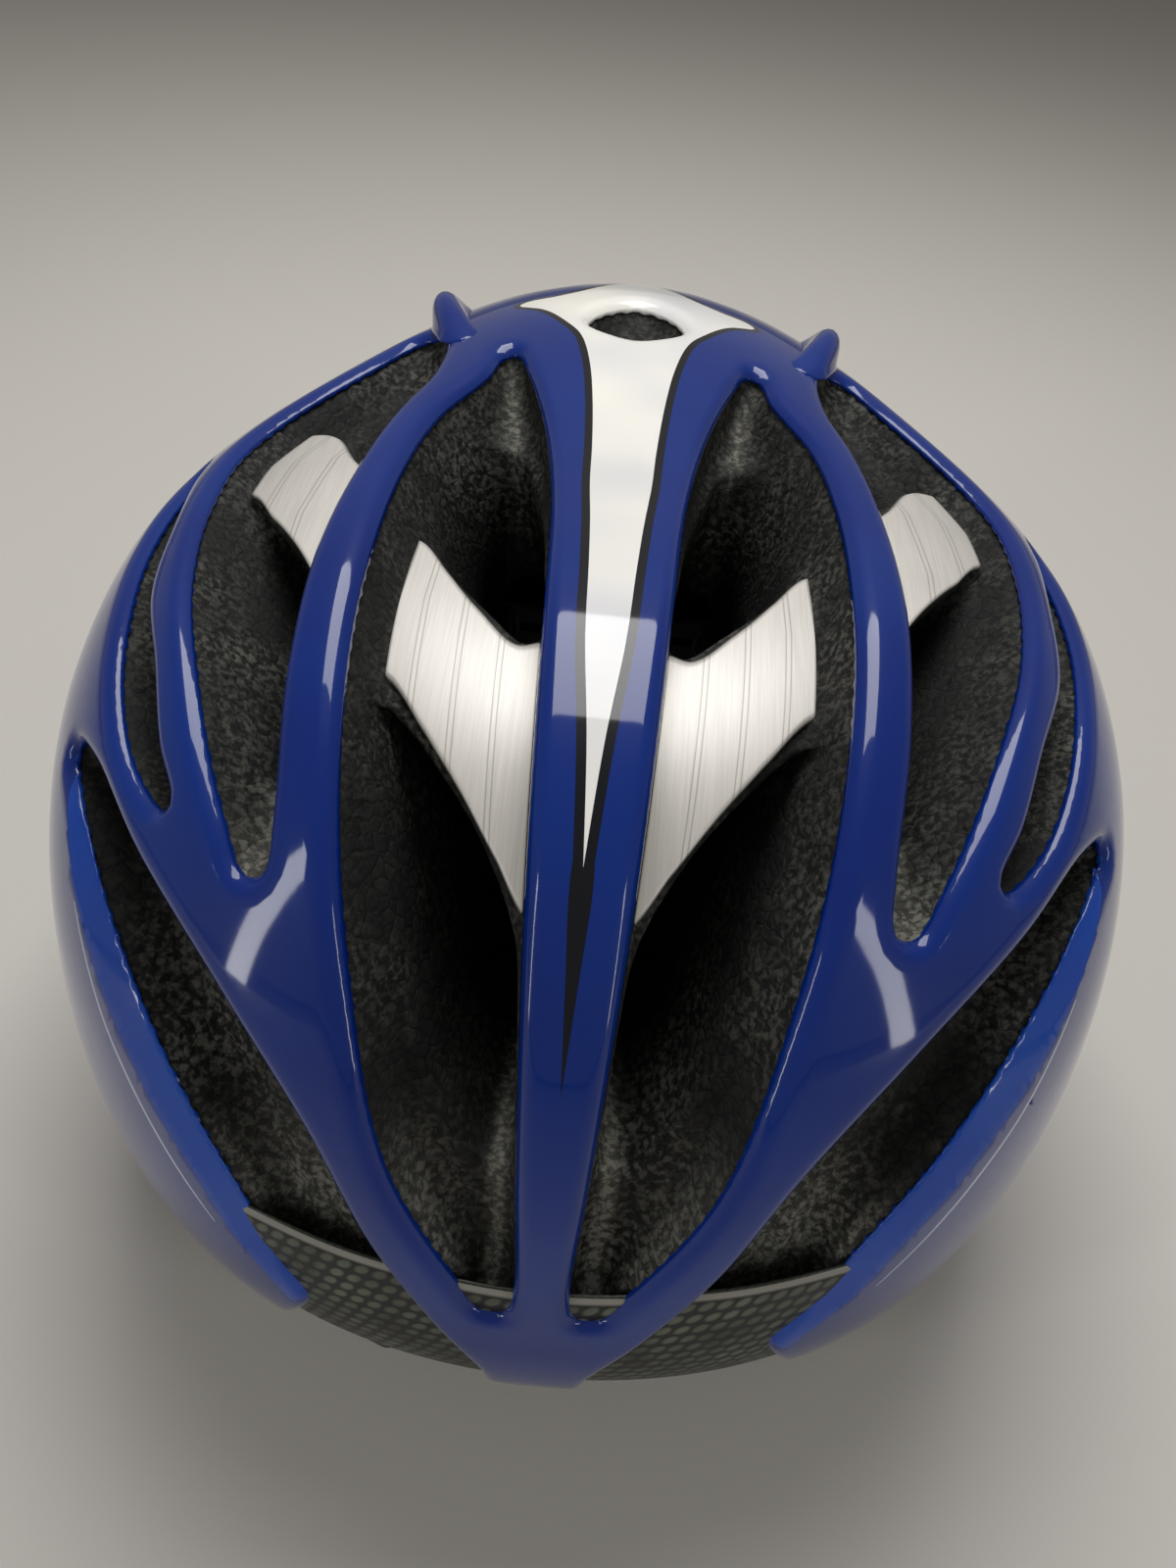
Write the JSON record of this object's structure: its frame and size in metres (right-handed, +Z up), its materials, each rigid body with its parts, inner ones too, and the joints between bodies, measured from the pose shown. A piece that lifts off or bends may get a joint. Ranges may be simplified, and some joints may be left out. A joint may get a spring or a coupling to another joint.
{
  "type": "cycling helmet",
  "caption": "Vented road cycling helmet: glossy shell over ribbed foam, bright cross bridges, dial-adjusted head band, pads, chin straps and side-release buckle.",
  "frame": {"origin": "on the surface it rests on, under the middle of its length and width", "axes": "+Z up to the crown, the front faces -Y, and the wearer's left is +X"},
  "size_m": [0.224, 0.2866, 0.1656],
  "materials": {
    "blue_shell": "gloss blue polycarbonate with a warm white stripe",
    "woven_shell": "gloss black with a woven look",
    "foam": "matte expanded foam with fine beads",
    "silver_skin": "satin silver film on plastic",
    "pad_cloth": "knitted pad cloth",
    "webbing": "woven webbing",
    "rubber_keeper": "soft",
    "white_nylon": "natural nylon",
    "dial_rubber": "soft-touch",
    "black_nylon": "moulded",
    "black_plastic": "moulded, satin"
  },
  "bodies": {
    "helmet": {"upper_shell": "blue_shell", "lower_shell": "woven_shell", "eps_liner": "foam", "bridge_skin_inner_left": "silver_skin", "bridge_skin_inner_right": "silver_skin", "bridge_skin_outer_left": "silver_skin", "bridge_skin_outer_right": "silver_skin", "front_pad": "pad_cloth", "crown_pad_left": "pad_cloth", "crown_pad_right": "pad_cloth", "side_pad_left": "pad_cloth", "side_pad_right": "pad_cloth", "temple_anchor_left": "black_nylon", "temple_anchor_right": "black_nylon", "temple_cap_left": "black_nylon", "temple_cap_right": "black_nylon", "strap_anchors": "black_plastic", "front_strap_left": "webbing", "front_strap_right": "webbing", "rear_strap_left": "webbing", "rear_strap_right": "webbing", "divider_left": "black_plastic", "divider_right": "black_plastic", "chin_strap_left": "webbing", "chin_strap_right": "webbing", "buckle_socket": "black_plastic"},
    "fit_frame": {"temple_swivel_left": "black_plastic", "temple_swivel_right": "black_plastic"},
    "cradle_body": {"cradle": "black_plastic", "dial_cover": "black_plastic", "cradle_pad_left": "pad_cloth", "cradle_pad_right": "pad_cloth"},
    "dial": {"dial_knob": "dial_rubber", "dial_gear": "white_nylon"},
    "arm_left": {"belt_arm_left": "black_plastic"},
    "arm_right": {"belt_arm_right": "black_plastic"},
    "lever_left": {"divider_lever_left": "black_plastic"},
    "lever_right": {"divider_lever_right": "black_plastic"},
    "plug": {"buckle_plug": "black_plastic"},
    "keeper": {"strap_keeper": "rubber_keeper"}
  },
  "joints": [
    {"name": "retention_tilt", "type": "hinge", "parent": "helmet", "child": "fit_frame", "pos_m": [0, -0.04, 0.028], "axis": [1, 0, 0], "range_deg": [-12, 8]},
    {"name": "cradle_slide", "type": "slide", "parent": "fit_frame", "child": "cradle_body", "axis": [0, 1, 0], "range_m": [-0.00317, 0.00317]},
    {"name": "dial_turn", "type": "hinge", "parent": "cradle_body", "child": "dial", "pos_m": [0, 0.0956, 0.028], "axis": [0, 1, 0], "range_deg": [-90, 90]},
    {"name": "belt_arm_left_swing", "type": "hinge", "parent": "fit_frame", "child": "arm_left", "pos_m": [0.07, -0.026, 0.028], "axis": [0, 0, -1], "range_deg": [-2.63, 2.63]},
    {"name": "belt_arm_right_swing", "type": "hinge", "parent": "fit_frame", "child": "arm_right", "pos_m": [-0.07, -0.026, 0.028], "axis": [0, 0, 1], "range_deg": [-2.63, 2.63]},
    {"name": "divider_lever_left_turn", "type": "hinge", "parent": "helmet", "child": "lever_left", "pos_m": [0.052, -0.021, 0.0075], "axis": [-1, 0, 0], "range_deg": [0, 80]},
    {"name": "divider_lever_right_turn", "type": "hinge", "parent": "helmet", "child": "lever_right", "pos_m": [-0.052, -0.021, 0.0075], "axis": [-1, 0, 0], "range_deg": [0, 80]},
    {"name": "buckle_release", "type": "slide", "parent": "helmet", "child": "plug", "axis": [0.9397, -0.342, 0], "range_m": [0, 0.018], "deforming": ["chin_strap_left"]},
    {"name": "keeper_slide", "type": "slide", "parent": "helmet", "child": "keeper", "axis": [0.4961, 0.8682, 0], "range_m": [-0.006, 0.006]}
  ],
  "couplings": [
    {"joint": "cradle_slide", "follows": "dial_turn", "m_per_rad": 0.002007},
    {"joint": "belt_arm_left_swing", "follows": "dial_turn", "ratio": 0.028674},
    {"joint": "belt_arm_right_swing", "follows": "dial_turn", "ratio": 0.028674}
  ]
}
